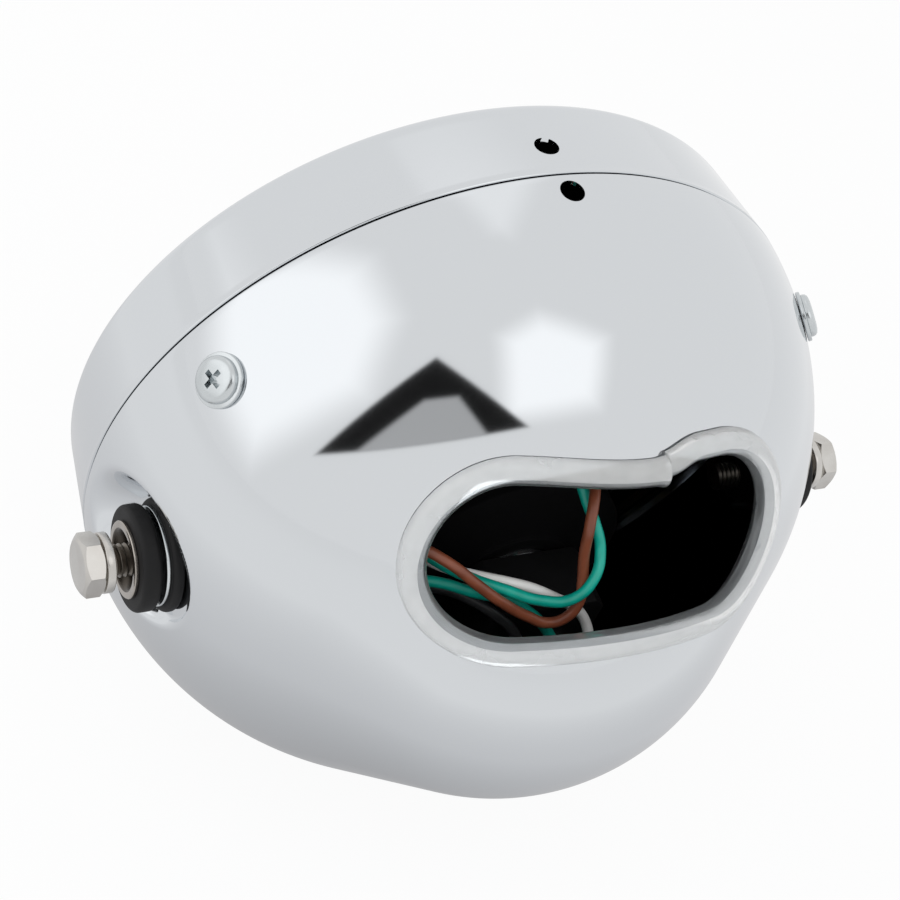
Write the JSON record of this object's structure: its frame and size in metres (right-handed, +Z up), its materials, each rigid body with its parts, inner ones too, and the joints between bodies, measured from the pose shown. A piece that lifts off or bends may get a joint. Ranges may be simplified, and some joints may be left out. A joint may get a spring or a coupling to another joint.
{
  "type": "motorcycle headlight",
  "caption": "Round chromed motorcycle headlight with a wiring opening and clear edge trim in its back, and a rubber-mounted bolt on each side.",
  "frame": {"origin": "middle of the side bolts' common axis, on the lamp's own axis", "axes": "-Y is the way the lens looks along the lamp's axis, +X is along the side bolts to the motorcycle's left, +Z is up, toward the rear opening and the two small holes"},
  "size_m": [0.203, 0.1386, 0.184],
  "materials": {
    "chrome_bucket": "bright chrome plate on pressed steel",
    "chrome_rim": "bright chrome plate on spun steel",
    "trim_plastic": "clear soft plastic edge trim",
    "gasket_rubber": "matt black rubber",
    "lens_glass": "clear moulded glass",
    "sealant": "grey sealant",
    "reflector_steel": "silvered inside",
    "spring_wire": "bright spring wire",
    "zinc_bracket": "zinc plate",
    "zinc_fixing": "bright zinc plate",
    "bulb_metal": "plated bulb base",
    "bulb_glass": "clear bulb glass",
    "filament_metal": "wires and coils",
    "boot_rubber": "dark grey rubber",
    "plug_plastic": "black plug body",
    "bolt_steel": "plain stainless steel",
    "sleeve_steel": "plated steel",
    "side_rubber": "satin black rubber",
    "nut_steel": "plain steel",
    "wire_brown": "soft PVC",
    "wire_green": "soft PVC",
    "wire_white": "soft PVC",
    "wire_black": "soft PVC",
    "terminal_brass": "plain brass",
    "sleeve_plastic": "clear plastic sleeve"
  },
  "bodies": {
    "root": {"bucket": "chrome_bucket", "opening_trim": "trim_plastic", "rim": "chrome_rim", "rim_gasket": "gasket_rubber", "lens": "lens_glass", "lens_seal": "sealant", "reflector": "reflector_steel", "unit_clips": "spring_wire", "rim_bracket_left": "zinc_bracket", "rim_bracket_right": "zinc_bracket", "rim_hook": "zinc_bracket", "rim_nut_left": "zinc_fixing", "rim_nut_right": "zinc_fixing", "rim_screw_left": "zinc_fixing", "rim_screw_right": "zinc_fixing", "rim_washer_left": "zinc_fixing", "rim_washer_right": "zinc_fixing", "bulb_base": "bulb_metal", "bulb_glass": "bulb_glass", "bulb_filaments": "filament_metal", "bulb_clip": "spring_wire", "bulb_boot": "boot_rubber", "bulb_plug": "plug_plastic", "pilot_bulb": "bulb_glass", "pilot_holder": "boot_rubber", "side_bolt_left": "bolt_steel", "side_bolt_right": "bolt_steel", "lock_washer_left": "bolt_steel", "lock_washer_right": "bolt_steel", "sleeve_left": "sleeve_steel", "sleeve_right": "sleeve_steel", "outer_grommet_left": "side_rubber", "outer_grommet_right": "side_rubber", "plate_washer_left": "zinc_fixing", "plate_washer_right": "zinc_fixing", "inner_pad_left": "side_rubber", "inner_pad_right": "side_rubber", "weld_nut_left": "nut_steel", "weld_nut_right": "nut_steel", "wire_brown": "wire_brown", "wire_green_parking": "wire_green", "wire_white": "wire_white", "wire_green_main": "wire_green", "wire_black": "wire_black", "bullet_terminals": "terminal_brass", "terminal_sleeves": "sleeve_plastic"}
  },
  "joints": []
}
